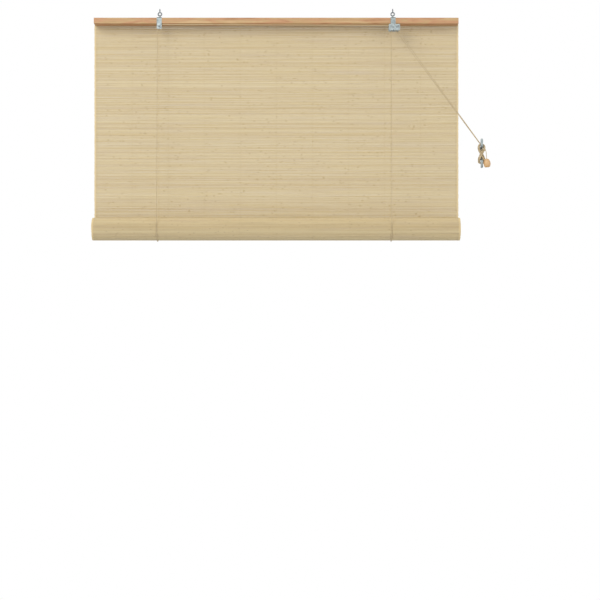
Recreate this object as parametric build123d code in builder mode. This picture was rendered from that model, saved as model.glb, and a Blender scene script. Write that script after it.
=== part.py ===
from build123d import *
import math
import os

# Driving dimensions, in millimetres and degrees.
# The origin lies on the ceiling, midway between the two screw eyes.
# X runs along the blind, the room is on the -Y side, Z is up.

# Fits
clearance = 0.3  # room between pieces that move past each other
bearing_play = 0.08  # room between a pin and the bore that turns on it
overrun = 1.0  # how far a cut runs past the faces it opens

# Head rail, a flat board
rail_length = 992.0
rail_depth = 38.0
rail_height = 16.0
rail_drop = 19.0  # ceiling down to the top of the rail
rail_round = 1.5

# Reed mat
mat_width = 1000.0
mat_thickness = 2.0
mat_waist = 1.2  # thickness left between two reeds
mat_hem = 14.0  # plain strip stapled to the back of the rail
mat_tuck_deg = 30.0  # how far the mat follows round the roll
reed_pitch = 4.87
reed_crest_share = 0.7
slit_width = 0.5
selvage = 20.0  # unslit strip along each side edge

# Rolled part of the mat and the rod in its middle
roll_drop = 594.0  # ceiling down to the roll's axis
roll_radius = 31.0
turn_gap = 0.94  # air between two turns
turn_weld = 0.2  # how deep the first inner turn runs into the outer one
rod_radius = 6.0
rod_inset = 4.0
rod_chamfer = 0.8

# Screw eyes
eye_spacing = 636.0
eye_wire_radius = 1.6
eye_ring_radius = 4.7  # middle of the wire
eye_shaft_radius = 1.5
eye_shaft_length = 9.3
eye_tip_length = 3.5

# Hangers, bent from strip
strap_width = 13.5
strap_sheet = 1.2
strap_bend = 2.1  # middle of the sheet
strap_margin = 7.6  # leg below its pin
strap_corner = 2.0
flange_length = 16.0
tongue_width = 2.8
hook_tail = 1.9

# Hanger screws
screw_radius = 1.5
screw_length = 11.0
screw_tip = 2.5
screw_head_radius = 3.0
screw_head_height = 1.8

# Pulleys and their pins
pulley_radius = 6.0
pulley_groove_radius = 3.75
pulley_groove_floor = 2.0
pulley_groove_mouth = 3.4
pulley_rim = 0.9  # land beside a groove
pulley_headroom = 1.3
pulley_hub_radius = 2.8
pin_radius = 1.5
pin_head_radius = 2.7
pin_head_height = 1.3
head_dome_share = 0.6

# Cord lock
lock_width = 30.0
lock_height = 17.5
lock_depth = 21.8
lock_sheet = 1.2
lock_bend = 2.0
lock_corner = 2.5
lock_gap = 5.0  # rail down to the lock
lock_shift = 2.3  # middle of the lock beside the middle of its hanger
lock_headroom = 0.5
lock_groove_spacing = 5.0
lock_groove_inset = 4.5  # inner face of the front plate to the front groove
roller_radius = 3.0
roller_axle_radius = 1.2
roller_axle_reach = 1.0  # axle past the plates
roller_travel = 3.0
roller_slot_deg = 20.0
roller_run = 5.0  # along the cord from the pulley to the roller

# Staples
staple_count = 10
staple_width = 10.0
staple_wire_radius = 0.5
staple_leg = 8.0
staple_bend = 1.2
anchor_wire_radius = 0.6
anchor_leg = 9.0

# Cords
cord_radius = 0.95

# Cleat, bent from strip
cleat_x = 546.5
cleat_drop = 398.3
wall_reach = 106.0  # wall face in front of the screw eyes
cleat_strip = 6.5
cleat_sheet = 2.0
cleat_foot = 31.0
cleat_rise = 14.0
cleat_splay = 3.0
cleat_height = 78.0
cleat_bend = 3.5
cleat_screw_spacing = 16.0
cleat_screw_radius = 1.7
cleat_shank_radius = 2.0  # plain neck in the foot of the cleat
cleat_screw_length = 16.0
cleat_screw_tip = 4.0
cleat_screw_head_radius = 3.1
cleat_screw_head_height = 1.8

# Wound cord on the cleat
lobe_half_width = 11.0
lobe_half_height = 14.5
lobe_place = 12.5  # middle of a lobe from the middle of the cleat
eyelet_half_width = 4.3
eyelet_half_height = 6.0
eyelet_place = 16.5
waist_round = 3.0
hank_depth = 8.0
hank_gap = 2.5
pull_entry_deg = 128.0

# Tail of the cord and its knob
tail_root = (6.0, 7.0)
tail_turn = (9.5, 3.0)
tail_end = (11.5, -15.5)
tail_gap = 1.2  # wound cord to the knob in front of it
tail_bend_share = 0.45
knob_radius = 9.2
knob_height = 22.0
knob_neck_radius = 4.2
knob_foot_radius = 6.4
knob_recess_radius = 4.6
knob_recess_depth = 8.0
knob_girdle_share = 0.5
knot_radius = 2.6

# Places that follow from the sizes
rail_top = -rail_drop
rail_bottom = rail_top - rail_height
rail_front = -rail_depth / 2
rail_back = rail_depth / 2
left_x = -eye_spacing / 2
right_x = eye_spacing / 2

mat_front = rail_back
mat_back = mat_front + mat_thickness
hem_top = rail_bottom + mat_hem
roll_y = mat_front - clearance - roll_radius
roll_z = -roll_drop
tuck_radius = roll_radius + clearance + mat_thickness / 2

strap_front = rail_front - strap_sheet
leg_y = rail_front - strap_sheet / 2
flange_z = rail_top + strap_sheet / 2
flange_end = rail_front + flange_length
screw_y = rail_front + flange_length / 2
ring_z = -eye_wire_radius - eye_ring_radius
wire_z = ring_z - eye_ring_radius
hook_radius = eye_wire_radius + clearance + strap_sheet / 2

pulley_bore = pin_radius + bearing_play
pulley_path = pulley_groove_radius + clearance + cord_radius
pulley_width = pulley_groove_mouth + 2 * pulley_rim
left_pulley_y = rail_front + clearance + pulley_width / 2
left_pulley_z = rail_bottom - pulley_headroom - pulley_radius

lock_x = right_x + lock_shift
lock_top = rail_bottom - lock_gap
lock_back = strap_front
lock_front = lock_back - lock_depth
lock_middle = (lock_front + lock_back) / 2
lock_pulley_z = lock_top - lock_sheet - lock_headroom - pulley_radius
front_groove_y = lock_front + lock_sheet + lock_groove_inset + clearance
rear_groove_y = front_groove_y + lock_groove_spacing
lock_rim_front = front_groove_y - pulley_groove_mouth / 2 - pulley_rim
lock_rim_back = rear_groove_y + pulley_groove_mouth / 2 + pulley_rim
lock_hub_end = lock_back - lock_sheet - clearance

wrap_front = roll_y - roll_radius - clearance - cord_radius
back_cord_y = mat_back + clearance + cord_radius
wrap_y = (wrap_front + back_cord_y) / 2
wrap_radius = (back_cord_y - wrap_front) / 2
left_cord_x = left_x - pulley_path
right_cord_x = right_x - pulley_path
anchor_z = rail_bottom + mat_hem / 2

wall_y = -wall_reach
cleat_z = -cleat_drop
hank_back = wall_y - cleat_sheet - hank_gap
hank_middle = hank_back - hank_depth / 2


def tangent_angle(point, centre, radius):
    """Angle of the point where a line from the given point touches a circle, counter-clockwise side."""
    across = point[0] - centre[0]
    up = point[1] - centre[1]
    return math.atan2(up, across) + math.acos(radius / math.hypot(across, up))


def cord_corner(centre, radius, angle_in, angle_out):
    """Crossing of the two lines that touch a pulley at the given angles."""
    reach = radius / math.cos((angle_in - angle_out) / 2)
    middle = (angle_in + angle_out) / 2
    return (centre[0] + reach * math.cos(middle), centre[1] + reach * math.sin(middle))


# The pull cords leave the lock straight to the upper lobe of the wound cord.
pull_entry_x = cleat_x + lobe_half_width * math.cos(math.radians(pull_entry_deg))
pull_entry_z = cleat_z + lobe_place + lobe_half_height * math.sin(math.radians(pull_entry_deg))
lock_centre = (right_x, lock_pulley_z)
pull_angle = tangent_angle((pull_entry_x, pull_entry_z), lock_centre, pulley_path)
pull_start_x = right_x + pulley_path * math.cos(pull_angle)
pull_start_z = lock_pulley_z + pulley_path * math.sin(pull_angle)

# The roller lies on the outer side of the cords, just past the pulley.
roller_reach = pulley_path + cord_radius + clearance + roller_radius
roller_x = right_x + roller_reach * math.cos(pull_angle) + roller_run * math.sin(pull_angle)
roller_z = lock_pulley_z + roller_reach * math.sin(pull_angle) - roller_run * math.cos(pull_angle)

os.makedirs("parts", exist_ok=True)


def write_node(piece, label):
    """Label a finished piece and write its own file."""
    piece.part.label = label
    export_step(piece.part, f"parts/{label}.step")


# Head rail
with BuildPart() as head_rail:
    with Locations((0, 0, (rail_top + rail_bottom) / 2)):
        Box(rail_length, rail_depth, rail_height)
    fillet(head_rail.edges().filter_by(Axis.X), radius=rail_round)
    with Locations((left_x, screw_y, rail_top), (right_x, screw_y, rail_top)):
        Cylinder(screw_radius, 2 * screw_length, mode=Mode.SUBTRACT)
write_node(head_rail, "head_rail")


# Reed mat that hangs from the rail, with its lower edge tucked round the roll
straight_length = hem_top - roll_z
reed_length = straight_length - mat_hem + tuck_radius * math.radians(mat_tuck_deg)
reed_count = round(reed_length / reed_pitch)
reed_step = reed_length / reed_count
reed_slope = reed_step * (1 - reed_crest_share) / 2


def mat_point(travel, lift):
    """Point at a distance down the mat, lifted off its middle surface towards the back."""
    if travel <= straight_length:
        return (mat_front + mat_thickness / 2 + lift, hem_top - travel)
    turn = (travel - straight_length) / tuck_radius
    reach = tuck_radius + lift
    return (roll_y + reach * math.cos(turn), roll_z - reach * math.sin(turn))


def mat_face(side):
    """Outline of one face of the mat from the hem down, side +1 at the back and -1 in front."""
    crest = side * mat_thickness / 2
    valley = side * mat_waist / 2
    points = [mat_point(0, crest), mat_point(mat_hem - reed_slope, crest)]
    for reed in range(reed_count):
        start = mat_hem + reed * reed_step
        points.append(mat_point(start, valley))
        points.append(mat_point(start + reed_slope, crest))
        points.append(mat_point(start + reed_step - reed_slope, crest))
    points.append(mat_point(mat_hem + reed_length, valley))
    return points


slit_places = [mat_hem + reed * reed_step for reed in range(1, reed_count)]
slit_places = [place for place in slit_places if place < straight_length - reed_step]

with BuildPart() as hanging_mat:
    with BuildSketch(Plane.YZ):
        with BuildLine():
            Polyline(*mat_face(1), *reversed(mat_face(-1)), close=True)
        make_face()
    extrude(amount=mat_width / 2, both=True)
    with Locations(*[(0, *mat_point(place, 0)) for place in slit_places]):
        Box(mat_width - 2 * selvage, mat_thickness + overrun, slit_width, mode=Mode.SUBTRACT)
write_node(hanging_mat, "hanging_mat")


# Roll: a closed reeded turn outside and a spiral of half circles inside, in one piece
turn_pitch = mat_thickness + turn_gap
ring_inner = roll_radius - mat_thickness
spiral_shift = turn_pitch / 4
spiral_start = ring_inner + turn_weld - spiral_shift
spiral_room = spiral_start - mat_thickness - spiral_shift - rod_radius - clearance
half_turns = math.floor(spiral_room / (turn_pitch / 2)) + 1
roll_reeds = round(2 * math.pi * roll_radius / reed_pitch)
roll_step = 2 * math.pi / roll_reeds
roll_plane = Plane(origin=(0, roll_y, roll_z), x_dir=(0, 1, 0), z_dir=(1, 0, 0))


def roll_outline():
    """Outer edge of the roll, with one flat crest and one valley for each reed."""
    valley_radius = roll_radius - (mat_thickness - mat_waist) / 2
    slope = roll_step * (1 - reed_crest_share) / 2
    points = []
    for reed in range(roll_reeds):
        start = reed * roll_step
        corners = (
            (valley_radius, start),
            (roll_radius, start + slope),
            (roll_radius, start + roll_step - slope),
        )
        for radius, angle in corners:
            points.append((radius * math.cos(angle), radius * math.sin(angle)))
    return points


def spiral_edge(inset):
    """Half circles of one edge of the wound mat, inset from its outer face."""
    for turn in range(half_turns):
        centre = spiral_shift if turn % 2 == 0 else -spiral_shift
        radius = spiral_start - turn * turn_pitch / 2 - inset
        CenterArc((centre, 0), radius, 180 * (turn % 2), 180)


with BuildPart() as mat_roll:
    with BuildSketch(roll_plane):
        with BuildLine():
            Polyline(*roll_outline(), close=True)
        make_face()
        Circle(ring_inner, mode=Mode.SUBTRACT)
        with BuildLine() as band:
            spiral_edge(0)
            spiral_edge(mat_thickness)
            Line((ring_inner + turn_weld, 0), (ring_inner + turn_weld - mat_thickness, 0))
            last_side = 1 if half_turns % 2 == 0 else -1
            last_outer = spiral_start - (half_turns - 1) * turn_pitch / 2 - spiral_shift
            Line((last_side * last_outer, 0), (last_side * (last_outer - mat_thickness), 0))
        make_face()
    extrude(amount=mat_width / 2, both=True)
write_node(mat_roll, "mat_roll")

with BuildPart() as bottom_rod:
    with BuildSketch(roll_plane):
        Circle(rod_radius)
    extrude(amount=mat_width / 2 - rod_inset, both=True)
    chamfer(bottom_rod.edges().filter_by(GeomType.CIRCLE), length=rod_chamfer)
write_node(bottom_rod, "bottom_rod")


# Screw eyes
def make_screw_eye(eye_x):
    """Ring below the ceiling with a pointed shaft above it."""
    profile_plane = Plane(origin=(eye_x, 0, 0), x_dir=(1, 0, 0), z_dir=(0, -1, 0))
    with BuildPart() as eye:
        with Locations(Location((eye_x, 0, ring_z), (90, 0, 0))):
            Torus(eye_ring_radius, eye_wire_radius)
        with BuildSketch(profile_plane):
            with BuildLine():
                Polyline(
                    (0, -eye_wire_radius),
                    (eye_shaft_radius + clearance, -eye_wire_radius),
                    (eye_shaft_radius, 0),
                    (eye_shaft_radius, eye_shaft_length - eye_tip_length),
                    (0, eye_shaft_length),
                    close=True,
                )
            make_face()
        revolve(axis=Axis((eye_x, 0, 0), (0, 0, 1)))
    return eye


write_node(make_screw_eye(left_x), "left_screw_eye")
write_node(make_screw_eye(right_x), "right_screw_eye")


# Hangers
def make_hanger(hanger_x, pin_z):
    """Strip bent over the rail's front edge, with a tongue hooked through the screw eye."""
    with BuildPart() as hanger:
        with BuildSketch(Plane.YZ.offset(hanger_x)):
            with BuildLine():
                FilletPolyline(
                    (leg_y, pin_z - strap_margin),
                    (leg_y, flange_z),
                    (flange_end, flange_z),
                    radius=strap_bend,
                )
            trace(line_width=strap_sheet)
        extrude(amount=strap_width / 2, both=True)
        fillet(hanger.edges().filter_by(Axis.Y).group_by(Axis.Z)[0], radius=strap_corner)
        with BuildSketch(Plane.YZ.offset(hanger_x)):
            with BuildLine():
                FilletPolyline(
                    (flange_end - overrun, flange_z),
                    (hook_radius, flange_z),
                    (hook_radius, wire_z),
                    radius=strap_bend,
                )
                CenterArc((0, wire_z), hook_radius, 0, 180)
                Line((-hook_radius, wire_z), (-hook_radius, wire_z - hook_tail))
            trace(line_width=strap_sheet)
        extrude(amount=tongue_width / 2, both=True)
        with Locations((hanger_x, screw_y, flange_z)):
            Cylinder(screw_radius, strap_sheet + overrun, mode=Mode.SUBTRACT)
        with Locations(Location((hanger_x, leg_y, pin_z), (90, 0, 0))):
            Cylinder(pin_radius, strap_sheet + overrun, mode=Mode.SUBTRACT)
    return hanger


write_node(make_hanger(left_x, left_pulley_z), "left_hanger")
write_node(make_hanger(right_x, lock_pulley_z), "right_hanger")


# Screws that hold the hangers on the rail
with BuildPart() as hanger_screws:
    seat = rail_top + strap_sheet
    for screw_x in (left_x, right_x):
        screw_plane = Plane(origin=(screw_x, screw_y, 0), x_dir=(1, 0, 0), z_dir=(0, -1, 0))
        with BuildSketch(screw_plane):
            with BuildLine():
                Polyline(
                    (0, rail_top - screw_length),
                    (screw_radius, rail_top - screw_length + screw_tip),
                    (screw_radius, seat),
                    (screw_head_radius, seat),
                    (screw_head_radius * head_dome_share, seat + screw_head_height),
                    (0, seat + screw_head_height),
                    close=True,
                )
            make_face()
        revolve(axis=Axis((screw_x, screw_y, 0), (0, 0, 1)))
write_node(hanger_screws, "hanger_screws")


# Pulleys
def groove_points(grooves):
    """Rim and groove corners, from the front groove to the rear one."""
    points = []
    for groove in grooves:
        points.append((pulley_radius, groove - pulley_groove_mouth / 2))
        points.append((pulley_groove_radius, groove - pulley_groove_floor / 2))
        points.append((pulley_groove_radius, groove + pulley_groove_floor / 2))
        points.append((pulley_radius, groove + pulley_groove_mouth / 2))
    return points


def make_turned(axle_x, axle_z, points):
    """Body of revolution about an axle that runs front to back, from radius and depth pairs."""
    with BuildPart() as turned:
        with BuildSketch(Plane(origin=(axle_x, 0, axle_z))):
            with BuildLine():
                Polyline(*points, close=True)
            make_face()
        revolve(axis=Axis((axle_x, 0, axle_z), (0, 1, 0)))
    return turned


left_rim_front = left_pulley_y - pulley_width / 2
left_rim_back = left_pulley_y + pulley_width / 2
left_pulley = make_turned(
    left_x,
    left_pulley_z,
    [
        (pulley_bore, left_rim_front),
        (pulley_radius, left_rim_front),
        *groove_points([left_pulley_y]),
        (pulley_radius, left_rim_back),
        (pulley_bore, left_rim_back),
    ],
)
write_node(left_pulley, "left_pulley")

lock_pulley = make_turned(
    right_x,
    lock_pulley_z,
    [
        (pulley_bore, lock_rim_front),
        (pulley_radius, lock_rim_front),
        *groove_points([front_groove_y, rear_groove_y]),
        (pulley_radius, lock_rim_back),
        (pulley_hub_radius, lock_rim_back),
        (pulley_hub_radius, lock_hub_end),
        (pulley_bore, lock_hub_end),
    ],
)
write_node(lock_pulley, "lock_pulley")


def make_pin(pin_x, pin_z, seat_front, seat_back):
    """Riveted pin with a domed head at each end."""
    dome = pin_head_radius * head_dome_share
    return make_turned(
        pin_x,
        pin_z,
        [
            (0, seat_front - pin_head_height),
            (dome, seat_front - pin_head_height),
            (pin_head_radius, seat_front),
            (pin_radius, seat_front),
            (pin_radius, seat_back),
            (pin_head_radius, seat_back),
            (dome, seat_back + pin_head_height),
            (0, seat_back + pin_head_height),
        ],
    )


left_pulley_pin = make_pin(left_x, left_pulley_z, strap_front, left_rim_back + clearance)
write_node(left_pulley_pin, "left_pulley_pin")
lock_pulley_pin = make_pin(right_x, lock_pulley_z, lock_front, rail_front)
write_node(lock_pulley_pin, "lock_pulley_pin")


# Cord lock: a folded housing and a loose roller in slanted slots
with BuildPart() as lock_housing:
    with BuildSketch(Plane.YZ.offset(lock_x)):
        with BuildLine():
            FilletPolyline(
                (lock_back - lock_sheet / 2, lock_top - lock_height),
                (lock_back - lock_sheet / 2, lock_top - lock_sheet / 2),
                (lock_front + lock_sheet / 2, lock_top - lock_sheet / 2),
                (lock_front + lock_sheet / 2, lock_top - lock_height),
                radius=lock_bend,
            )
        trace(line_width=lock_sheet)
    extrude(amount=lock_width / 2, both=True)
    fillet(lock_housing.edges().filter_by(Axis.Y).group_by(Axis.Z)[0], radius=lock_corner)
    with Locations(Location((right_x, lock_middle, lock_pulley_z), (90, 0, 0))):
        Cylinder(pin_radius, lock_depth + overrun, mode=Mode.SUBTRACT)
    with BuildSketch(Plane.XZ.offset(-lock_middle)):
        slot_x = roller_x + roller_travel / 2 * math.cos(math.radians(roller_slot_deg))
        slot_z = roller_z + roller_travel / 2 * math.sin(math.radians(roller_slot_deg))
        with Locations((slot_x, slot_z)):
            SlotCenterToCenter(
                roller_travel, 2 * (roller_axle_radius + clearance), rotation=roller_slot_deg
            )
    extrude(amount=lock_depth / 2 + overrun, both=True, mode=Mode.SUBTRACT)
write_node(lock_housing, "lock_housing")

roller_front = lock_front + lock_sheet + clearance
roller_back = lock_rim_back
lock_roller = make_turned(
    roller_x,
    roller_z,
    [
        (0, lock_front - roller_axle_reach),
        (roller_axle_radius, lock_front - roller_axle_reach),
        (roller_axle_radius, roller_front),
        (roller_radius, roller_front),
        (roller_radius, roller_back),
        (roller_axle_radius, roller_back),
        (roller_axle_radius, lock_back + roller_axle_reach),
        (0, lock_back + roller_axle_reach),
    ],
)
write_node(lock_roller, "lock_roller")


# Staples that hold the hem, and two that hold the ends of the lift cords
def add_staple(staple_x, crown_y, crown_z, half_width, leg, wire_radius):
    """One wire staple with its crown across the mat's back and its legs into the rail."""
    with BuildLine() as wire:
        FilletPolyline(
            (staple_x - half_width, crown_y - leg, crown_z),
            (staple_x - half_width, crown_y, crown_z),
            (staple_x + half_width, crown_y, crown_z),
            (staple_x + half_width, crown_y - leg, crown_z),
            radius=min(staple_bend, half_width * head_dome_share),
        )
    with BuildSketch(Plane(origin=wire.line @ 0, z_dir=wire.line % 0)) as section:
        Circle(wire_radius)
    sweep(sections=section.sketch, path=wire.line)


staple_step = mat_width / staple_count
with BuildPart() as mat_staples:
    for staple in range(staple_count):
        add_staple(
            (staple + 1 / 2) * staple_step - mat_width / 2,
            mat_back + staple_wire_radius,
            anchor_z,
            staple_width / 2,
            staple_leg,
            staple_wire_radius,
        )
write_node(mat_staples, "mat_staples")

with BuildPart() as cord_anchors:
    for anchor_x in (left_cord_x, right_cord_x):
        add_staple(
            anchor_x,
            back_cord_y + cord_radius + anchor_wire_radius,
            anchor_z,
            cord_radius + clearance + anchor_wire_radius,
            anchor_leg,
            anchor_wire_radius,
        )
write_node(cord_anchors, "cord_anchors")


# Cords
def make_straight_cord(start, end):
    """Taut run of cord between two points."""
    run = Vector(end) - Vector(start)
    with BuildPart() as cord:
        with BuildSketch(Plane(origin=start, z_dir=run)):
            Circle(cord_radius)
        extrude(amount=run.length)
    return cord


def add_bent_cord(points, radius):
    """Cord of straight runs joined by tangent arcs."""
    with BuildLine() as route:
        FilletPolyline(*points, radius=radius)
    with BuildSketch(Plane(origin=route.line @ 0, z_dir=route.line % 0)) as section:
        Circle(cord_radius)
    sweep(sections=section.sketch, path=route.line)


def make_lift_cord(cord_x, top_y, top_z, name):
    """Front run to the roll, the bend under it, and the run up behind the mat."""
    touch = tangent_angle((top_y, top_z), (wrap_y, roll_z), wrap_radius)
    touch_y = wrap_y + wrap_radius * math.cos(touch)
    touch_z = roll_z + wrap_radius * math.sin(touch)
    front_run = make_straight_cord((cord_x, top_y, top_z), (cord_x, touch_y, touch_z + clearance))
    write_node(front_run, f"{name}_lift_cord")
    touch_deg = math.degrees(touch)
    with BuildPart() as wrap:
        with BuildLine(Plane.YZ.offset(cord_x)) as bend:
            CenterArc((wrap_y, roll_z), wrap_radius, touch_deg, 360 - touch_deg)
        with BuildSketch(Plane(origin=bend.line @ 0, z_dir=bend.line % 0)):
            Circle(cord_radius)
        sweep(path=bend.line)
    write_node(wrap, f"{name}_cord_wrap")
    back_run = make_straight_cord(
        (cord_x, back_cord_y, roll_z + clearance),
        (cord_x, back_cord_y, anchor_z + 2 * anchor_wire_radius),
    )
    write_node(back_run, f"{name}_back_cord")


lead_in = 2 * cord_radius
left_run_top = left_pulley_z - lead_in
right_run_top = lock_pulley_z - lead_in
make_lift_cord(left_cord_x, left_pulley_y, left_run_top - clearance, "left")
make_lift_cord(right_cord_x, front_groove_y, right_run_top - clearance, "right")

# The left cord crosses under the rail to the lock's rear groove.
rear_corner = cord_corner(lock_centre, pulley_path, math.pi / 2, pull_angle)
pull_slope_y = (hank_middle - rear_groove_y) / (pull_entry_z - pull_start_z)
rear_end_z = pull_start_z - lead_in
rear_end_x = pull_start_x + (rear_end_z - pull_start_z) * (
    (pull_entry_x - pull_start_x) / (pull_entry_z - pull_start_z)
)
rear_end_y = rear_groove_y + (rear_end_z - pull_start_z) * pull_slope_y
with BuildPart() as cross_cord:
    add_bent_cord(
        [
            (left_cord_x, left_pulley_y, left_run_top),
            (left_cord_x, left_pulley_y, left_pulley_z + pulley_path),
            (rear_corner[0], rear_groove_y, rear_corner[1]),
            (rear_end_x, rear_end_y, rear_end_z),
        ],
        pulley_path,
    )
write_node(cross_cord, "cross_cord")

# Both cords run on, pulled tight, to the cleat.
pull_entry = Vector(pull_entry_x, hank_middle, pull_entry_z)
rear_end = Vector(rear_end_x, rear_end_y, rear_end_z)
rear_start = rear_end + (pull_entry - rear_end).normalized() * clearance
pull_cord_rear = make_straight_cord(rear_start, pull_entry)
write_node(pull_cord_rear, "pull_cord_rear")
front_corner = cord_corner(lock_centre, pulley_path, math.pi, pull_angle)
front_entry = pull_entry - Vector(0, cord_radius + lead_in, 0)
with BuildPart() as pull_cord_front:
    add_bent_cord(
        [
            (right_cord_x, front_groove_y, right_run_top),
            (right_cord_x, front_groove_y, front_corner[1]),
            (rear_end_x, front_groove_y, rear_end_z),
            front_entry,
        ],
        pulley_path,
    )
write_node(pull_cord_front, "pull_cord_front")


# Cleat: one strip folded into a foot, two risers and two horns
foot_y = wall_y - cleat_sheet / 2
horn_y = foot_y - cleat_rise
riser_foot = cleat_foot / 2
riser_top = riser_foot + cleat_splay
cleat_side = [
    (horn_y, cleat_height / 2),
    (horn_y, riser_top),
    (foot_y, riser_foot),
    (foot_y, -riser_foot),
    (horn_y, -riser_top),
    (horn_y, -cleat_height / 2),
]

with BuildPart() as cleat:
    with BuildSketch(Plane.YZ.offset(cleat_x)):
        with BuildLine():
            FilletPolyline(*[(y, cleat_z + z) for y, z in cleat_side], radius=cleat_bend)
        trace(line_width=cleat_sheet)
    extrude(amount=cleat_strip / 2, both=True)
    horn_ends = cleat.edges().filter_by(Axis.Y).group_by(Axis.Z)
    fillet(horn_ends[0] + horn_ends[-1], radius=cleat_strip / 2 - clearance)
    with Locations(
        Location((cleat_x, foot_y, cleat_z + cleat_screw_spacing / 2), (90, 0, 0)),
        Location((cleat_x, foot_y, cleat_z - cleat_screw_spacing / 2), (90, 0, 0)),
    ):
        Cylinder(cleat_shank_radius, cleat_sheet + overrun, mode=Mode.SUBTRACT)
write_node(cleat, "cleat")

with BuildPart() as cleat_screws:
    head_seat = wall_y - cleat_sheet
    for screw_z in (cleat_z + cleat_screw_spacing / 2, cleat_z - cleat_screw_spacing / 2):
        with BuildSketch(Plane(origin=(cleat_x, 0, screw_z))):
            with BuildLine():
                Polyline(
                    (0, head_seat - cleat_screw_head_height),
                    (cleat_screw_head_radius * head_dome_share, head_seat - cleat_screw_head_height),
                    (cleat_screw_head_radius, head_seat),
                    (cleat_shank_radius, head_seat),
                    (cleat_shank_radius, wall_y),
                    (cleat_screw_radius, wall_y),
                    (cleat_screw_radius, wall_y + cleat_screw_length - cleat_screw_tip),
                    (0, wall_y + cleat_screw_length),
                    close=True,
                )
            make_face()
        revolve(axis=Axis((cleat_x, 0, screw_z), (0, 1, 0)))
write_node(cleat_screws, "cleat_screws")


# Cord wound on the cleat in a figure of eight, round both risers
with BuildPart() as cord_hank:
    hank_plane = Plane(origin=(cleat_x, hank_back, cleat_z), x_dir=(1, 0, 0), z_dir=(0, -1, 0))
    with BuildSketch(hank_plane) as lobes:
        with Locations((0, lobe_place), (0, -lobe_place)):
            Ellipse(lobe_half_width, lobe_half_height)
        waist = lobes.vertices().sort_by(Axis.X)
        fillet([waist[0], waist[-1]], radius=waist_round)
        with Locations((0, eyelet_place), (0, -eyelet_place)):
            Ellipse(eyelet_half_width, eyelet_half_height, mode=Mode.SUBTRACT)
    extrude(amount=hank_depth)
write_node(cord_hank, "cord_hank")


# Tail of the cord, its knot and the turned knob on it
def beside_cleat(place, depth):
    """Point at a depth, placed across and up from the middle of the cleat."""
    return Vector(cleat_x + place[0], depth, cleat_z + place[1])


tail_y = hank_back - hank_depth - tail_gap - knob_radius
tail_points = [
    beside_cleat(tail_root, hank_middle),
    beside_cleat(tail_turn, tail_y),
    beside_cleat(tail_end, tail_y),
]
knob_top = tail_points[2]
knob_down = (knob_top - tail_points[1]).normalized()
knot_place = knob_top + knob_down * (knob_height - knob_recess_depth + knot_radius)
first_run = (tail_points[1] - tail_points[0]).length
tail_bend_deg = (tail_points[1] - tail_points[0]).get_angle(knob_down)
tail_bend = tail_bend_share * first_run / math.tan(math.radians(tail_bend_deg / 2))
print("tail bend radius", round(tail_bend, 1))

with BuildPart() as cord_tail:
    add_bent_cord([tail_points[0], tail_points[1], knot_place], tail_bend)
    with Locations(knot_place):
        Sphere(knot_radius)
write_node(cord_tail, "cord_tail")

knob_bore = cord_radius + clearance
knob_plane = Plane(origin=knob_top, x_dir=(0, 1, 0), z_dir=Vector(0, 1, 0).cross(knob_down))
with BuildPart() as cord_knob:
    with BuildSketch(knob_plane):
        with BuildLine():
            ThreePointArc(
                (knob_neck_radius, 0),
                (knob_radius, knob_height * knob_girdle_share),
                (knob_foot_radius, knob_height),
            )
            Polyline(
                (knob_foot_radius, knob_height),
                (knob_recess_radius, knob_height),
                (knob_recess_radius, knob_height - knob_recess_depth),
                (knob_bore, knob_height - knob_recess_depth),
                (knob_bore, 0),
                (knob_neck_radius, 0),
            )
        make_face()
    revolve(axis=Axis(knob_top, knob_down))
write_node(cord_knob, "cord_knob")
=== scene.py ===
import math
import random

import bpy
import numpy as np
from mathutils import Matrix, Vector


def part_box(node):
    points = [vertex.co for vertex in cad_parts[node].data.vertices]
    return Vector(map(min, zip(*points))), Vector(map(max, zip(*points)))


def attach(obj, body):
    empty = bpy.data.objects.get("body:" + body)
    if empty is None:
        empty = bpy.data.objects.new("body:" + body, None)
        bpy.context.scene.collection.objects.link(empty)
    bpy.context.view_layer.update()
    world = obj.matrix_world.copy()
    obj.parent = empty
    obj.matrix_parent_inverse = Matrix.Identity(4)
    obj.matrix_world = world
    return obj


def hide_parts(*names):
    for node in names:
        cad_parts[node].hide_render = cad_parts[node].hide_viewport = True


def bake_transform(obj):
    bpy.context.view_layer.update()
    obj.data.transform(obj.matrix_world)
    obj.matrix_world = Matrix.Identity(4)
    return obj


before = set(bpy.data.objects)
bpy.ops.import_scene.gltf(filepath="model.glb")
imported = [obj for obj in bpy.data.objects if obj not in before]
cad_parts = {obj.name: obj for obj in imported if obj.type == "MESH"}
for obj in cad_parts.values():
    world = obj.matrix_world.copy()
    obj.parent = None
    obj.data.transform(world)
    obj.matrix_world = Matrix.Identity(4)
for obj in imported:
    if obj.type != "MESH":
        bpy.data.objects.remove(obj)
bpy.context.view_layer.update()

# All sizes are in metres. X runs along the blind, the room is on the -Y side, Z is up.
MM = 0.001
draw = random.Random(41)

# Camera, level and square to the blind
camera_place = (0.0648, -3.980, -0.7869)
camera_lens = 87.4
camera_sensor = 36.0
camera_reach = 40.0

# Floor and light
floor_height = -2.05
floor_radius = 2.0
floor_sides = 96
floor_grey = (0.82, 0.82, 0.82, 1.0)
floor_white_share = 0.8  # white in the floor's middle as the camera sees it, 1 at its rim
sky_light = 0.62
lamp_aim = (0.0, 0.0, -0.3)
key_place = (-2.2, -3.4, 1.5)
key_size = 2.6
key_watts = 90.0
fill_place = (2.6, -2.6, 0.4)
fill_size = 2.4
fill_watts = 30.0

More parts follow.
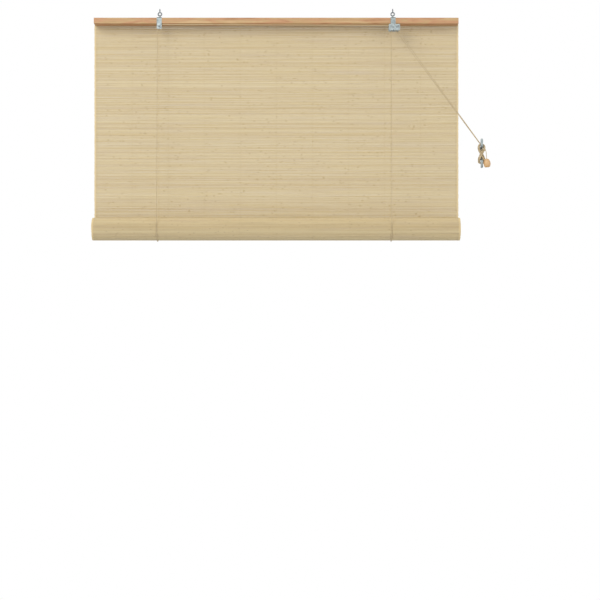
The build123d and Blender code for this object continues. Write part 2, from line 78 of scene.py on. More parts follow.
# Reed mat
mat_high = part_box("hanging_mat")[1]
roll_low, roll_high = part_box("mat_roll")
mat_half_width = mat_high.x
mat_middle_y = 20.0 * MM
mat_top = mat_high.z
roll_y = (roll_low.y + roll_high.y) / 2
roll_z = (roll_low.z + roll_high.z) / 2
roll_radius = (roll_high.z - roll_low.z) / 2
mat_tuck = math.radians(30.0)
hem_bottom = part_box("head_rail")[0].z
reed_height_range = (1.7 * MM, 3.1 * MM)
reed_gap = 0.16 * MM
reed_thickness_range = (1.1 * MM, 1.6 * MM)
reed_stations = 26
reed_knots = 3
reed_knot_reach = 3.5 * MM
reed_knot_margin = 8 * reed_knot_reach
reed_knot_swell = 0.12
reed_waves = 3
reed_wave_rates = (6, 22)
reed_wave_swell = 0.05
reed_wave_shift = 0.1 * MM
reed_wave_tone = 0.16
reed_end_scatter = 1.0 * MM
reed_end_round = 0.7 * MM  # keeps the shading of the cut end from running along the reed
selvage_start = mat_half_width - 6.0 * MM
selvage_fade = 1.5 * MM

# Rolled part of the mat
roll_layer = 2.0 * MM
turn_pitch = 2.94 * MM
core_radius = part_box("bottom_rod")[1].z - roll_z
roll_reed_height = 2.42 * MM
roll_reed_scatter = (0.8, 0.98)
inner_layer_share = 0.9

# Binding threads of the mat
thread_radius = 0.24 * MM
thread_swing = 1.0 * MM
thread_spacing = 97.0 * MM
edge_thread_inset = 5.0 * MM
edge_thread_step = 2.6 * MM
thread_sides = 4

# Cords
cord_diameter = 1.9 * MM
cord_step = 0.6 * MM
cord_lay = 6.0 * MM
cord_strands = 3
strand_core, strand_lobe = 0.8, 0.2  # a section's reach between strands, and what a strand adds
cord_sides = 12
curve_steps = 16
wrap_y = -11.15 * MM
wrap_radius = 33.4 * MM
wrap_steps = 48
anchor_z = -27.0 * MM
left_lift_top = (-0.323, -0.0161, -0.0445)
right_lift_top = (0.313, -0.036, -0.048)

# Where the runs of a hanging piece meet: the share of its drop, and the share of the roll's
# travel that is followed there. The second is a little the larger low down, so that a raised
# cord lies round the roll.
drop_runs = (
    (0.0, 0.0), (0.03, 0.018), (0.1, 0.09), (0.25, 0.243), (0.5, 0.503), (0.7, 0.711),
    (0.84, 0.857), (0.94, 0.957), (1.0, 1.0),
)

# Windings on the cleat
cleat_x = 546.5 * MM
wind_z = -399.0 * MM
wind_y = -114.8 * MM
wind_points = 16  # for each turn
wind_width, wind_width_swell = 5.6 * MM, 4.6 * MM  # of a narrow turn, and what a wide one adds
wind_height, wind_height_swell = 23.6 * MM, 3.6 * MM
wind_swell_turns = 1.35  # turns from a wide one to a narrow one
wind_depth = 6.6 * MM
wind_crossing = 0.9 * MM
wind_sway = 4.0 * MM
wind_cross_spread = 5.0 * MM
wind_start = math.radians(36.0)
wind_turns = 8 - 14.0 / 360
wind_scatter = 0.1 * MM
front_lag, rear_lag = 0.0, 0.9  # turns by which a cord's swelling runs ahead

# Plating: its crystals in a metre, the fold of the straps over the rail's front edge, and the
# distances from the fold between which the painted shade round it fades
spangle_scale = 340.0
strap_fold = (0.0, -19.4 * MM, -18.6 * MM)
strap_fold_start, strap_fold_end = 1.6 * MM, 2.3 * MM

# Thread on the shafts of the screw eyes
eye_x = 318.0 * MM
eye_thread_radius = 0.26 * MM
eye_thread_pitch = 1.4 * MM
eye_thread_start, eye_thread_end = 1.0 * MM, 8.6 * MM
eye_thread_points = 40  # for each turn
eye_thread_sides = 6
eye_shaft_radius = 1.5 * MM
eye_taper_start = 5.8 * MM
eye_taper_end = 9.3 * MM


# Colours

def tone(red, green, blue):
    """A colour given in screen values from 0 to 255, as linear light."""
    channels = []
    for value in (red, green, blue):
        share = value / 255
        channels.append(share / 12.92 if share <= 0.04045 else ((share + 0.055) / 1.055) ** 2.4)
    return (*channels, 1.0)


# Materials

class Nodes:
    """Adds nodes to a node tree and links them."""

    def __init__(self, tree):
        self.tree = tree

    def add(self, kind, **settings):
        node = self.tree.nodes.new(kind)
        for name, value in settings.items():
            setattr(node, name, value)
        return node

    def link(self, source, target):
        self.tree.links.new(source, target)

    def math(self, operation, first, second):
        node = self.add("ShaderNodeMath", operation=operation)
        for socket, value in zip(node.inputs, (first, second)):
            if isinstance(value, (int, float)):
                socket.default_value = value
            else:
                self.link(value, socket)
        return node.outputs["Value"]


class Finish(Nodes):
    """A material with one Principled shader, built node by node."""

    def __init__(self, name, roughness, **constants):
        self.material = bpy.data.materials.new(name)
        self.material.use_nodes = True
        super().__init__(self.material.node_tree)
        self.shader = self.tree.nodes["Principled BSDF"]
        self.shader.inputs["Roughness"].default_value = roughness
        for socket, value in constants.items():
            self.shader.inputs[socket.replace("_", " ")].default_value = value

    def place(self, scale):
        """Object coordinates, stretched by a scale for each axis."""
        coordinates = self.add("ShaderNodeTexCoord")
        mapping = self.add("ShaderNodeMapping")
        mapping.inputs["Scale"].default_value = scale
        self.link(coordinates.outputs["Object"], mapping.inputs["Vector"])
        return mapping.outputs["Vector"]

    def noise(self, scale, detail=3.0, roughness=0.55, distortion=0.0):
        texture = self.add("ShaderNodeTexNoise")
        texture.inputs["Scale"].default_value = 1.0
        texture.inputs["Detail"].default_value = detail
        texture.inputs["Roughness"].default_value = roughness
        texture.inputs["Distortion"].default_value = distortion
        self.link(self.place(scale), texture.inputs["Vector"])
        return texture.outputs["Fac"]

    def attribute(self, name):
        return self.add("ShaderNodeAttribute", attribute_name=name).outputs["Fac"]

    def ramp(self, factor, *stops):
        node = self.add("ShaderNodeValToRGB")
        elements = node.color_ramp.elements
        while len(elements) < len(stops):
            elements.new(0.5)
        for element, (place, colour) in zip(elements, stops):
            element.position = place
            element.color = colour
        self.link(factor, node.inputs["Fac"])
        return node.outputs["Color"]

    def mask(self, factor, low, high):
        node = self.add("ShaderNodeMapRange")
        node.inputs["From Min"].default_value = low
        node.inputs["From Max"].default_value = high
        self.link(factor, node.inputs["Value"])
        return node.outputs["Result"]

    def faded(self, factor, strength):
        return self.math("MULTIPLY", factor, strength)

    def mix(self, factor, first, second, blend="MIX"):
        node = self.add("ShaderNodeMix", data_type="RGBA", blend_type=blend)
        for name, value in (("Factor_Float", factor), ("A_Color", first), ("B_Color", second)):
            socket = next(s for s in node.inputs if s.identifier == name)
            if isinstance(value, (int, float, tuple)):
                socket.default_value = value
            else:
                self.link(value, socket)
        return next(s for s in node.outputs if s.identifier == "Result_Color")

    def colour(self, source):
        self.link(source, self.shader.inputs["Base Color"])

    def roughness(self, source):
        self.link(source, self.shader.inputs["Roughness"])

    def bump(self, height, distance, strength=1.0):
        node = self.add("ShaderNodeBump")
        node.inputs["Strength"].default_value = strength
        node.inputs["Distance"].default_value = distance
        self.link(height, node.inputs["Height"])
        self.link(node.outputs["Normal"], self.shader.inputs["Normal"])


def make_bamboo():
    """Split reeds: straw to tan, with long faint streaks, brown knots and pale cut ends."""
    finish = Finish("bamboo_reed", roughness=0.5)
    reed = finish.ramp(
        finish.attribute("reed_tone"),
        (0.0, tone(203, 181, 136)),
        (0.5, tone(210, 191, 147)),
        (1.0, tone(217, 200, 158)),
    )
    streak = finish.mask(finish.noise((7.0, 420.0, 420.0), detail=4.0), low=0.55, high=0.75)
    streaked = finish.mix(finish.faded(streak, strength=0.6), reed, tone(190, 168, 132))
    blush = finish.mask(finish.noise((5.0, 90.0, 90.0), detail=3.0), low=0.52, high=0.8)
    blushed = finish.mix(finish.faded(blush, strength=0.45), streaked, tone(196, 176, 150))
    fibre = finish.noise((60.0, 2600.0, 2600.0), detail=2.0)
    fibre_share = 0.16
    fibre_tones = finish.ramp(fibre, (0.3, tone(150, 120, 78)), (0.7, tone(240, 228, 196)))
    fibred = finish.mix(fibre_share, blushed, fibre_tones)
    knot = finish.faded(finish.attribute("reed_knot"), strength=0.4)
    knotted = finish.mix(knot, fibred, tone(158, 132, 98))
    position = finish.add("ShaderNodeSeparateXYZ")
    finish.link(finish.place((1.0, 1.0, 1.0)), position.inputs["Vector"])
    side = finish.math("ABSOLUTE", position.outputs["X"], 0.0)
    cut_end = finish.mask(side, low=selvage_start, high=selvage_start + selvage_fade)
    finish.colour(finish.mix(finish.faded(cut_end, strength=0.75), knotted, tone(230, 208, 158)))
    finish.roughness(finish.mask(fibre, low=-0.6, high=1.4))
    finish.bump(fibre, distance=0.12 * MM, strength=0.6)
    return finish.material


def make_board():
    """Planed softwood with reddish and yellowish figure along X."""
    finish = Finish("rail_wood", roughness=0.55)
    figure = finish.noise((13.0, 40.0, 110.0), detail=3.0, roughness=0.55, distortion=0.8)
    base = finish.ramp(
        figure,
        (0.32, tone(174, 130, 90)),
        (0.45, tone(197, 150, 112)),
        (0.54, tone(190, 158, 112)),
        (0.68, tone(204, 172, 128)),
    )
    rings = finish.add("ShaderNodeTexWave", bands_direction="Z")
    rings.inputs["Scale"].default_value = 1.0
    rings.inputs["Distortion"].default_value = 9.0
    rings.inputs["Detail"].default_value = 3.0
    rings.inputs["Detail Scale"].default_value = 0.6
    finish.link(finish.place((1.4, 26.0, 70.0)), rings.inputs["Vector"])
    line = finish.faded(rings.outputs["Fac"], strength=0.3)
    grained = finish.mix(line, base, tone(172, 124, 84))
    pores = finish.noise((40.0, 1500.0, 1500.0), detail=2.0)
    finish.colour(finish.mix(finish.mask(pores, low=0.6, high=0.95), grained, tone(140, 98, 66)))
    finish.roughness(finish.mask(pores, low=-0.8, high=1.3))
    finish.bump(pores, distance=0.1 * MM, strength=0.5)
    return finish.material


def make_rod_wood():
    """Plain wood with fibres along the rod."""
    finish = Finish("rod_wood", roughness=0.6)
    fibre = finish.noise((8.0, 700.0, 700.0), detail=3.0)
    finish.colour(finish.ramp(fibre, (0.3, tone(188, 156, 108)), (0.7, tone(218, 192, 148))))
    finish.bump(fibre, distance=0.1 * MM, strength=0.5)
    return finish.material


def make_zinc(name, light, middle, dark):
    """Zinc plate: cool grey with spangle and fine rolling marks, and painted shade where the straps
    fold.
    """
    finish = Finish(name, roughness=0.45, Metallic=0.45)
    spangle = finish.add("ShaderNodeTexVoronoi")
    spangle.inputs["Scale"].default_value = spangle_scale
    finish.link(finish.place((1.0, 1.0, 1.0)), spangle.inputs["Vector"])
    shade = finish.add("ShaderNodeSeparateColor")
    finish.link(spangle.outputs["Color"], shade.inputs["Color"])
    grains = finish.ramp(shade.outputs["Red"], (0.0, dark), (0.5, middle), (1.0, light))
    cloud = finish.noise((140.0, 140.0, 140.0), detail=4.0)
    clouded = finish.mix(finish.mask(cloud, low=0.5, high=0.85), grains, dark)
    # Painted shade: a dark band round the fold of the straps over the rail's edge
    fold = finish.add("ShaderNodeVectorMath", operation="DISTANCE")
    finish.link(finish.place((0.0, 1.0, 1.0)), fold.inputs[0])
    fold.inputs[1].default_value = strap_fold
    fold_shade = finish.mask(fold.outputs["Value"], low=strap_fold_end, high=strap_fold_start)
    finish.colour(finish.mix(finish.faded(fold_shade, strength=0.9), clouded, tone(84, 98, 97)))
    finish.roughness(finish.mask(cloud, low=-0.5, high=1.8))
    marks = finish.noise((300.0, 3200.0, 3200.0), detail=2.0)
    finish.bump(marks, distance=0.06 * MM, strength=0.4)
    return finish.material


def make_plastic():
    """Off-white moulded plastic, slightly cloudy."""
    finish = Finish("pulley_plastic", roughness=0.42, IOR=1.5)
    cloud = finish.noise((260.0, 260.0, 260.0), detail=3.0)
    finish.colour(finish.ramp(cloud, (0.3, tone(220, 217, 208)), (0.7, tone(231, 229, 222))))
    finish.bump(cloud, distance=0.05 * MM, strength=0.3)
    return finish.material


def make_roller_steel():
    """Plated steel with a rough grip round the roller."""
    finish = Finish("roller_steel", roughness=0.38, Metallic=0.9)
    cloud = finish.noise((200.0, 200.0, 200.0), detail=4.0)
    finish.colour(finish.ramp(cloud, (0.3, tone(140, 146, 148)), (0.7, tone(168, 174, 176))))
    finish.roughness(finish.mask(cloud, low=-0.4, high=1.8))
    grip = finish.noise((2400.0, 300.0, 2400.0), detail=1.0)
    finish.bump(grip, distance=0.1 * MM, strength=0.6)
    return finish.material


def make_cotton():
    """Twisted cotton: straw coloured, fuzzy, with short fibres across the strands."""
    finish = Finish("cord_cotton", roughness=0.88, Sheen_Weight=0.25, Sheen_Roughness=0.5)
    fibre = finish.noise((2400.0, 2400.0, 2400.0), detail=3.0)
    cloud = finish.noise((120.0, 120.0, 120.0), detail=3.0)
    base = finish.ramp(cloud, (0.3, tone(192, 170, 129)), (0.7, tone(207, 187, 149)))
    fibre_share = 0.3
    fibre_tones = finish.ramp(fibre, (0.3, tone(162, 136, 94)), (0.7, tone(218, 205, 176)))
    finish.colour(finish.mix(fibre_share, base, fibre_tones))
    finish.bump(fibre, distance=0.15 * MM, strength=0.7)
    return finish.material


def make_knob_wood():
    """Turned, waxed wood with grain along the knob."""
    finish = Finish("knob_wood", roughness=0.42, Coat_Weight=0.2, Coat_Roughness=0.3)
    fibre = finish.noise((420.0, 420.0, 46.0), detail=4.0, roughness=0.6, distortion=0.5)
    base = finish.ramp(
        fibre, (0.3, tone(190, 142, 90)), (0.5, tone(210, 169, 118)), (0.72, tone(222, 186, 138))
    )
    pores = finish.noise((1500.0, 1500.0, 160.0), detail=2.0)
    finish.colour(finish.mix(finish.mask(pores, low=0.62, high=0.95), base, tone(142, 98, 58)))
    finish.bump(pores, distance=0.08 * MM, strength=0.5)
    return finish.material


finishes = {
    "rail_wood": make_board(),
    "bamboo": make_bamboo(),
    "rod_wood": make_rod_wood(),
    "zinc_steel": make_zinc(
        "zinc_steel",
        light=tone(184, 195, 195),
        middle=tone(160, 170, 170),
        dark=tone(126, 136, 139),
    ),
    "pulley_plastic": make_plastic(),
    "roller_steel": make_roller_steel(),
    "cord_cotton": make_cotton(),
    "knob_wood": make_knob_wood(),
}
# A darker copy of the zinc: painted shade on the screw eyes and the left rivet
shaded_zinc = make_zinc(
    "shaded_zinc",
    light=tone(134, 140, 145),
    middle=tone(116, 122, 127),
    dark=tone(96, 102, 107),
)


def dress_nodes():
    """Gives each solid the finish of its slot, and the eyes and the left rivet a darker zinc of
    painted shade.
    """
    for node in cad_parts.values():
        for place in node.material_slots:
            slot_name = place.material.name.split(".")[0]
            place.material = finishes[slot_name]
    for name in ("left_screw_eye", "right_screw_eye", "left_pulley_pin"):
        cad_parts[name].material_slots[0].material = shaded_zinc


# Meshes

def make_piece(name, vertices, faces, slot_name):
    """A mesh in the finish of a material slot, smooth along its bars and flat on their ends."""
    mesh = bpy.data.meshes.new(name)
    mesh.from_pydata(vertices, [], faces)
    mesh.materials.append(finishes[slot_name])
    mesh.polygons.foreach_set("use_smooth", [len(face) == 4 for face in faces])
    piece = bpy.data.objects.new(name, mesh)
    bpy.context.scene.collection.objects.link(piece)
    return piece


def add_values(piece, name, values):
    """One number for each vertex, which the finish reads by name."""
    layer = piece.data.attributes.new(name, "FLOAT", "POINT")
    layer.data.foreach_set("value", np.asarray(values, dtype=np.float32).ravel())


def bar_faces(first, rings, sides):
    """Side faces and end caps of a bar whose rings of vertices follow each other."""
    faces = []
    for ring in range(rings - 1):
        low = first + ring * sides
        for side in range(sides):
            after = (side + 1) % sides
            faces.append((low + side, low + after, low + sides + after, low + sides + side))
    faces.append(tuple(range(first + sides - 1, first - 1, -1)))
    last = first + (rings - 1) * sides
    faces.append(tuple(range(last, last + sides)))
    return faces


# Hanging pieces, made in runs down the drop


def blend_run(piece):
    """Bakes the placement of one run of a drop into its mesh."""
    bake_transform(piece)


def drop_run(z):
    """Which run of the mat's drop a height belongs to, counted from 0."""
    share = (hem_bottom - z) / (hem_bottom - roll_z)
    return sum(share > low for low, weight in drop_runs[1:-1])


# Section of a reed, as shares of its half height and half thickness
reed_section_shares = (
    (0.62, 1.0), (1.0, 0.25), (0.8, -1.0), (-0.8, -1.0), (-1.0, 0.25), (-0.62, 1.0),
)


class ReedSet:
    """Gathers reeds, each a long bar along X with knots, slight waves and its own tone."""

    def __init__(self):
        self.vertices = []
        self.faces = []
        self.tones = []
        self.knots = []

    def stations(self, knot_places, plain):
        """Where along X a reed has its rings of vertices."""
        first = -mat_half_width + draw.uniform(0, reed_end_scatter)
        last = mat_half_width - draw.uniform(0, reed_end_scatter)
        if plain:
            return [first, last]
        places = {first, first + reed_end_round, last - reed_end_round, last}
        for step in range(1, reed_stations - 1):
            places.add(-mat_half_width + 2 * mat_half_width * step / (reed_stations - 1))
        for knot in knot_places:
            places.update((knot - reed_knot_reach, knot, knot + reed_knot_reach))
        return sorted(places)

    def add(self, place, down, out, height, thickness, plain=False):
        """One reed at (y, z), with the unit directions down the mat and out of its face.

        A plain reed is straight and has no knots.
        """
        reach = mat_half_width - reed_knot_margin
        knot_count = 0 if plain else reed_knots
        knot_places = [draw.uniform(-reach, reach) for knot in range(knot_count)]
        stations = self.stations(knot_places, plain)
        waves = [
            (draw.uniform(*reed_wave_rates), draw.uniform(0, 2 * math.pi))
            for wave in range(reed_waves)
        ]
        base_tone = draw.random()
        first = len(self.vertices)
        sides = len(reed_section_shares)
        for x in stations:
            nearest = min((abs(x - place_x) for place_x in knot_places), default=reed_knot_reach)
            knot = max(0.0, 1 - nearest / reed_knot_reach)
            drift = sum(math.sin(rate * x + phase) for rate, phase in waves) / len(waves)
            swell = 1 + reed_wave_swell * drift + reed_knot_swell * knot
            shift = 0.0 if plain else reed_wave_shift * drift
            for along_share, across_share in reed_section_shares:
                along = along_share * height / 2 * swell + shift
                across = across_share * thickness / 2 * swell
                y = place[0] + down[0] * along + out[0] * across
                z = place[1] + down[1] * along + out[1] * across
                self.vertices.append((x, y, z))
                self.tones.append(min(1.0, max(0.0, base_tone + reed_wave_tone * drift)))
                self.knots.append(knot)
        self.faces += bar_faces(first, len(stations), sides)

    def finish(self, name):
        piece = make_piece(name, self.vertices, self.faces, "bamboo")
        add_values(piece, "reed_tone", self.tones)
        add_values(piece, "reed_knot", self.knots)
        return piece


# Run of the mat's middle face, from the hem down the drop and in under the roll
flat_run = mat_top - roll_z
tuck_radius = mat_middle_y - roll_y
mat_run = flat_run + tuck_radius * mat_tuck


def mat_frame(run):
    """Place, downward direction and outward direction, as (y, z), at a run down the mat."""
    if run <= flat_run:
        return (mat_middle_y, mat_top - run), (0.0, -1.0), (-1.0, 0.0)
    turn = (run - flat_run) / tuck_radius
    place = (roll_y + tuck_radius * math.cos(turn), roll_z - tuck_radius * math.sin(turn))
    return place, (-math.sin(turn), -math.cos(turn)), (-math.cos(turn), math.sin(turn))


def make_mat():
    """The hanging mat, in one piece for each run of its drop."""
    reed_sets = [ReedSet() for run in drop_runs[1:]]
    run = 0.0
    while True:
        height = draw.uniform(*reed_height_range)
        if run + height > mat_run:
            break
        place, down, out = mat_frame(run + height / 2)
        reeds = reed_sets[drop_run(place[1])]
        reeds.add(place, down, out, height, draw.uniform(*reed_thickness_range))
        run += height + reed_gap
    for number, reeds in enumerate(reed_sets, 1):
        piece = reeds.finish(f"reed_mat_{number}")
        blend_run(piece)
        if number == 1:
            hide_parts("hanging_mat")


def make_roll():
    """Outer turn of full reeds, with the inner turns' reeds behind it, down to the rod."""
    reeds = ReedSet()
    outer = roll_radius - roll_layer / 2
    count = round(2 * math.pi * outer / roll_reed_height)
    for step in range(count):
        angle = 2 * math.pi * step / count
        out = (math.cos(angle), math.sin(angle))
        place = (roll_y + outer * out[0], roll_z + outer * out[1])
        height = 2 * math.pi * outer / count - reed_gap
        thickness = roll_layer * draw.uniform(*roll_reed_scatter)
        reeds.add(place, (-out[1], out[0]), out, height, thickness)
    angle = 0.0
    radius = outer - turn_pitch / 2
    while radius - roll_layer / 2 > core_radius:
        out = (math.cos(angle), math.sin(angle))
        place = (roll_y + radius * out[0], roll_z + radius * out[1])
        height = roll_reed_height * draw.uniform(*roll_reed_scatter)
        thickness = roll_layer * inner_layer_share
        reeds.add(place, (-out[1], out[0]), out, height, thickness, plain=True)
        angle += roll_reed_height / radius
        radius -= turn_pitch * roll_reed_height / (2 * math.pi * radius)
    return reeds.finish("reed_roll")


# Tubes and ropes along a line of points

def line_frames(points):
    """Unit directions along a line and two directions across it that turn as little as possible."""
    along = np.gradient(points, axis=0)
    along /= np.linalg.norm(along, axis=1)[:, None]
    guide = np.array((0.0, 1.0, 0.0)) if abs(along[0][1]) < 0.9 else np.array((1.0, 0.0, 0.0))
    across = []
    for direction in along:
        guide = guide - direction * guide.dot(direction)
        guide = guide / np.linalg.norm(guide)
        across.append(guide)
    across = np.array(across)
    return across, np.cross(along, across)


def spread_evenly(points, step):
    """The same line with points one step apart."""
    points = np.asarray(points, dtype=float)
    lengths = np.concatenate(([0.0], np.cumsum(np.linalg.norm(np.diff(points, axis=0), axis=1))))
    count = max(2, round(lengths[-1] / step))
    places = np.linspace(0.0, lengths[-1], count)
    return np.stack([np.interp(places, lengths, points[:, axis]) for axis in range(3)], axis=1)


def tube_shape(points, radius, sides, twist_step=0.0, strands=0, first_turn=0.0):
    """Vertices and faces of a tube. With strands, its section has lobes that wind along it."""
    points = np.asarray(points, dtype=float)
    first_across, second_across = line_frames(points)
    vertices = []
    for index, point in enumerate(points):
        for side in range(sides):
            angle = 2 * math.pi * side / sides
            turned = angle + first_turn + twist_step * index
            reach = radius
            if strands:
                reach = radius * (strand_core + strand_lobe * abs(math.cos(strands * angle / 2)))
            sideways = first_across[index] * math.cos(turned)
            offset = sideways + second_across[index] * math.sin(turned)
            vertices.append(tuple(point + reach * offset))
    return vertices, bar_faces(0, len(points), sides)


def make_rope(name, points, first_turn=0.0):
    """A three-strand cord along a line."""
    line = spread_evenly(points, cord_step)
    twist_step = 2 * math.pi * cord_step / cord_lay
    vertices, faces = tube_shape(
        line, cord_diameter / 2, cord_sides, twist_step, cord_strands, first_turn
    )
    return make_piece(name, vertices, faces, "cord_cotton")


def smooth_line(name, route):
    """Points along the smooth curve that has the route's points as its control points."""
    curve = bpy.data.curves.new(name, "CURVE")
    curve.dimensions = "3D"
    curve.resolution_u = curve_steps
    spline = curve.splines.new("NURBS")
    spline.points.add(len(route) - 1)
    for point, place in zip(spline.points, route):
        point.co = (*place, 1.0)
    spline.order_u = 3
    spline.use_endpoint_u = True
    holder = bpy.data.objects.new(name, curve)
    line = bpy.data.meshes.new_from_object(holder)
    points = [tuple(vertex.co) for vertex in line.vertices]
    bpy.data.objects.remove(holder)
    bpy.data.curves.remove(curve)
    bpy.data.meshes.remove(line)
    return points


# Threads that bind the reeds

def join_tubes(name, lines, radius, slot_name, sides):
    """Plain tubes along several lines, as one piece."""
    vertices = []
    faces = []
    for line in lines:
        tube_vertices, tube_faces = tube_shape(line, radius, sides)
        first = len(vertices)
        vertices += tube_vertices
        faces += [tuple(first + corner for corner in face) for face in tube_faces]
    return make_piece(name, vertices, faces, slot_name)


def thread_places():
    """Where the threads cross the mat: evenly along it, and a close pair beside each side edge."""
    count = round(2 * (mat_half_width - edge_thread_inset) / thread_spacing)
    reach = mat_half_width - edge_thread_inset
    places = [-reach + 2 * reach * step / count for step in range(count + 1)]
    return places + [-reach + edge_thread_step, reach - edge_thread_step]


def mat_thread(x, phase):
    """A thread down the mat, in front of one reed and behind the next."""
    line = []
    steps = round(mat_run / (roll_reed_height / 2))
    for step in range(steps + 1):
        place, down, out = mat_frame(mat_run * step / steps)
        swing = thread_swing * math.cos(math.pi * step / 2 + phase)
        line.append((x, place[0] + out[0] * swing, place[1] + out[1] * swing))
    return line


def roll_thread(x, phase):
    """A thread round the outer turn of the roll."""
    line = []
    steps = 2 * round(2 * math.pi * roll_radius / roll_reed_height)
    for step in range(steps + 1):
        angle = 2 * math.pi * step / steps
        reach = roll_radius - roll_layer / 2 + thread_swing * math.cos(math.pi * step / 2 + phase)
        line.append((x, roll_y + reach * math.cos(angle), roll_z + reach * math.sin(angle)))
    return line


def thread_lines(make_line):
    """Two threads at each place, on opposite sides of every reed."""
    lines = []
    for x in thread_places():
        lines.append(make_line(x - thread_radius, 0.0))
        lines.append(make_line(x + thread_radius, math.pi))
    return lines


def make_mat_threads():
    """Threads of the hanging mat, in one piece for each run. Runs share a point where they meet."""
    parts = [[] for run in drop_runs[1:]]
    for line in thread_lines(mat_thread):
        for number, part in enumerate(parts):
            places = [index for index, point in enumerate(line) if drop_run(point[2]) == number]
            part.append(line[max(0, places[0] - 1):places[-1] + 1])
    for number, part in enumerate(parts, 1):
        name = f"mat_threads_{number}"
        piece = join_tubes(name, part, thread_radius, "cord_cotton", thread_sides)
        blend_run(piece)


# Cords that carry the roll

def make_lift_cord(side, place):
    """From the pulley in straight runs to the roll's front, round under it and up to the rail."""
    x, top_y, top_z = place
    tilt = math.atan2(top_y - (wrap_y - wrap_radius), top_z - roll_z)
    wrap = []
    for step in range(wrap_steps + 1):
        angle = math.pi - tilt + (math.pi + tilt) * step / wrap_steps
        wrap.append((
            x, wrap_y + wrap_radius * math.cos(angle), roll_z + wrap_radius * math.sin(angle),
        ))
    wrap.append((x, wrap_y + wrap_radius, anchor_z))
    loop = make_rope(f"{side}_lift_loop", wrap)
    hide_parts(f"{side}_cord_wrap", f"{side}_back_cord")
    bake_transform(loop)

    top, bottom = Vector(place), Vector(wrap[0])
    turn = 0.0
    shares = [share for share, weight in drop_runs]
    for number, (low, high) in enumerate(zip(shares, shares[1:]), 1):
        line = [top.lerp(bottom, low), top.lerp(bottom, high)]
        run = make_rope(f"{side}_lift_run_{number}", line, turn)
        turn += 2 * math.pi * (bottom - top).length * (high - low) / cord_lay
        blend_run(run)
        if number == 1:
            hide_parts(f"{side}_lift_cord")


# Cords from the lock to the cleat

def winding(lag):
    """Figure-eight turns round the cleat, from the wall outwards, now wider and now narrower."""
    route = []
    steps = round(wind_turns * wind_points)
    for step in range(steps + 1):
        turn = wind_turns * step / steps
        angle = wind_start - 2 * math.pi * turn
        phase = (turn + lag) / wind_swell_turns
        swell = abs(phase % 2 - 1)
        width = wind_width + wind_width_swell * swell
        height = wind_height + wind_height_swell * swell
        sway = (1 - swell) * wind_sway * math.sin(math.pi / 2 * phase) * math.cos(angle) ** 3
        lift = swell * wind_cross_spread * math.cos(math.pi / 2 * phase) * math.cos(angle) ** 2
        depth = wind_depth * (turn / wind_turns - 0.5) + wind_crossing * math.cos(angle)
        route.append((
            cleat_x + width * math.sin(2 * angle) + sway + draw.uniform(-1, 1) * wind_scatter,
            wind_y - depth,
            wind_z + height * math.sin(angle) + lift + draw.uniform(-1, 1) * wind_scatter,
        ))
    return route


def scaled(route):
    """A route in millimetres, in metres."""
    return [tuple(value * MM for value in place) for place in route]


# Routes in millimetres, from the lock to the first turn on the cleat
front_route = [
    (313.0, -36.0, -47.7), (313.0, -36.0, -45.4), (316.5, -36.0, -42.4), (321.0, -36.0, -43.1),
    (324.6, -36.6, -48.6), (329.9, -38.3, -56.5), (536.7, -110.4, -361.8), (543.0, -112.6, -371.0),
]
rear_route = [
    (322.9, -31.3, -46.0), (323.5, -31.8, -50.5), (325.0, -32.8, -57.5), (329.5, -34.4, -63.9),
    (536.1, -109.3, -362.6), (542.4, -111.6, -371.8),
]
knot_place = (554.6, -121.4, -389.5)
tail_route = [
    (556.6, -126.0, -392.0), (557.2, -129.2, -397.5), (557.6, -129.0, -405.5),
    (558.0, -128.9, -413.8), (558.3, -128.9, -417.0),
]
knot_size = 0.8 * MM
knot_steps = 90
knot_tightness = 0.8


def make_knot():
    """A small overhand knot where the two cords are tied together."""
    centre = Vector(knot_place) * MM
    line = []
    for step in range(knot_steps):
        angle = 2 * math.pi * step / knot_steps
        across = math.sin(angle) + 2 * math.sin(2 * angle)
        upward = math.cos(angle) - 2 * math.cos(2 * angle)
        line.append((
            centre.x + knot_size * across * knot_tightness,
            centre.y - knot_size * math.sin(3 * angle),
            centre.z + knot_size * upward * knot_tightness,
        ))
    line.append(line[0])
    knot = make_rope("cord_knot", line)
    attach(knot, "head")
    return knot


def make_pull_cords():
    """Both cords from the lock to the cleat and round it, and the front one on to the knob."""
    knot = make_knot()
    front_end = scaled([knot_place] + tail_route)
    front_points = smooth_line(
        "front_route", scaled(front_route) + winding(front_lag) + front_end
    )
    front = make_rope("pull_cord", front_points)
    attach(front, "head")
    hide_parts("pull_cord_front", "cord_tail")
    rear_points = smooth_line(
        "rear_route", scaled(rear_route) + winding(rear_lag) + scaled([knot_place])
    )
    rear = make_rope("second_pull_cord", rear_points)
    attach(rear, "head")
    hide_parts("pull_cord_rear", "cord_hank")


# Screw eyes

def make_eye_thread(name, x):
    """Rolled thread on the shaft of a screw eye, running out on its tip."""
    line = []
    length = eye_thread_end - eye_thread_start
    steps = round(eye_thread_points * length / eye_thread_pitch)
    for step in range(steps + 1):
        z = eye_thread_start + length * step / steps
        angle = 2 * math.pi * z / eye_thread_pitch
        taper = (eye_taper_end - z) / (eye_taper_end - eye_taper_start)
        radius = eye_shaft_radius * min(1.0, taper)
        line.append((x + radius * math.cos(angle), radius * math.sin(angle), z))
    thread = join_tubes(name, [line], eye_thread_radius, "zinc_steel", eye_thread_sides)
    # Painted shade: the thread takes the darker zinc of the eyes
    thread.material_slots[0].material = shaded_zinc
    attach(thread, "head")


# Stage

def make_camera():
    data = bpy.data.cameras.new("camera")
    data.sensor_width = camera_sensor
    data.lens = camera_lens
    data.clip_end = camera_reach
    camera = bpy.data.objects.new("camera", data)
    camera.location = camera_place
    camera.rotation_euler = (math.pi / 2, 0.0, 0.0)
    bpy.context.scene.collection.objects.link(camera)
    bpy.context.scene.camera = camera


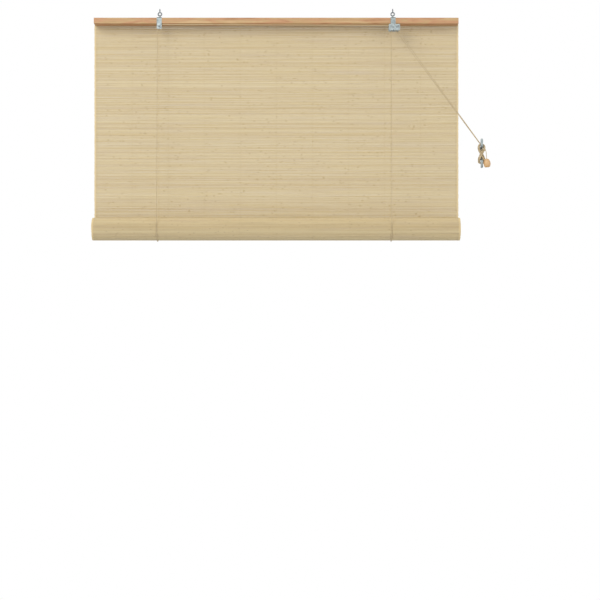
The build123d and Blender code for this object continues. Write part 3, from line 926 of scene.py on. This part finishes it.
def make_floor():
    """A pale disc that keeps the object's shadow and fades to white at its rim in the picture."""
    mesh = bpy.data.meshes.new("floor")
    rim = []
    for side in range(floor_sides):
        angle = 2 * math.pi * side / floor_sides
        rim.append((floor_radius * math.cos(angle), floor_radius * math.sin(angle), floor_height))
    mesh.from_pydata(rim, [], [tuple(range(floor_sides))])
    material = bpy.data.materials.new("floor")
    material.use_nodes = True
    nodes = Nodes(material.node_tree)
    nodes.tree.nodes.clear()
    matt = nodes.add("ShaderNodeBsdfDiffuse")
    matt.inputs["Color"].default_value = floor_grey
    white = nodes.add("ShaderNodeEmission")
    place = nodes.add("ShaderNodeTexCoord")
    flat = nodes.add("ShaderNodeVectorMath", operation="MULTIPLY")
    flat.inputs[1].default_value = (1.0, 1.0, 0.0)
    nodes.link(place.outputs["Object"], flat.inputs[0])
    reach = nodes.add("ShaderNodeVectorMath", operation="LENGTH")
    nodes.link(flat.outputs["Vector"], reach.inputs[0])
    fade = nodes.add("ShaderNodeMapRange")
    fade.inputs["From Max"].default_value = floor_radius
    fade.inputs["To Min"].default_value = floor_white_share
    nodes.link(reach.outputs["Value"], fade.inputs["Value"])
    path = nodes.add("ShaderNodeLightPath")
    share = nodes.math("MULTIPLY", path.outputs["Is Camera Ray"], fade.outputs["Result"])
    mix = nodes.add("ShaderNodeMixShader")
    nodes.link(share, mix.inputs["Fac"])
    nodes.link(matt.outputs["BSDF"], mix.inputs[1])
    nodes.link(white.outputs["Emission"], mix.inputs[2])
    output = nodes.add("ShaderNodeOutputMaterial")
    nodes.link(mix.outputs["Shader"], output.inputs["Surface"])
    mesh.materials.append(material)
    floor = bpy.data.objects.new("floor", mesh)
    bpy.context.scene.collection.objects.link(floor)


def make_world():
    """White where it is seen or mirrored, and a softer sky where it lights the object."""
    world = bpy.data.worlds.new("studio")
    world.use_nodes = True
    bpy.context.scene.world = world
    nodes = Nodes(world.node_tree)
    background = nodes.tree.nodes["Background"]
    background.inputs["Color"].default_value = (1.0, 1.0, 1.0, 1.0)
    rays = nodes.add("ShaderNodeLightPath").outputs
    seen = nodes.math("MAXIMUM", rays["Is Camera Ray"], rays["Is Transmission Ray"])
    seen_or_mirrored = nodes.math("MAXIMUM", seen, rays["Is Glossy Ray"])
    strength = nodes.add("ShaderNodeMapRange")
    strength.inputs["To Min"].default_value = sky_light
    strength.inputs["To Max"].default_value = 1.0
    nodes.link(seen_or_mirrored, strength.inputs["Value"])
    nodes.link(strength.outputs["Result"], background.inputs["Strength"])


def make_lamp(name, place, size, watts):
    data = bpy.data.lights.new(name, "AREA")
    data.shape = "DISK"
    data.size = size
    data.energy = watts
    lamp = bpy.data.objects.new(name, data)
    lamp.location = place
    aim = Vector(lamp_aim) - Vector(place)
    lamp.rotation_euler = aim.to_track_quat("-Z", "Y").to_euler()
    bpy.context.scene.collection.objects.link(lamp)


bpy.context.scene.view_settings.view_transform = "Standard"
make_camera()
make_floor()
make_world()
make_lamp("key", key_place, key_size, key_watts)
make_lamp("fill", fill_place, fill_size, fill_watts)

dress_nodes()
make_pull_cords()

make_eye_thread("left_eye_thread", -eye_x)
make_eye_thread("right_eye_thread", eye_x)

make_mat()
make_mat_threads()

roll = make_roll()
roll_threads = join_tubes(
    "roll_threads", thread_lines(roll_thread), thread_radius, "cord_cotton", thread_sides
)
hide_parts("mat_roll")
for wound in (roll, roll_threads):
    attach(wound, "roll")

make_lift_cord("left", left_lift_top)
make_lift_cord("right", right_lift_top)
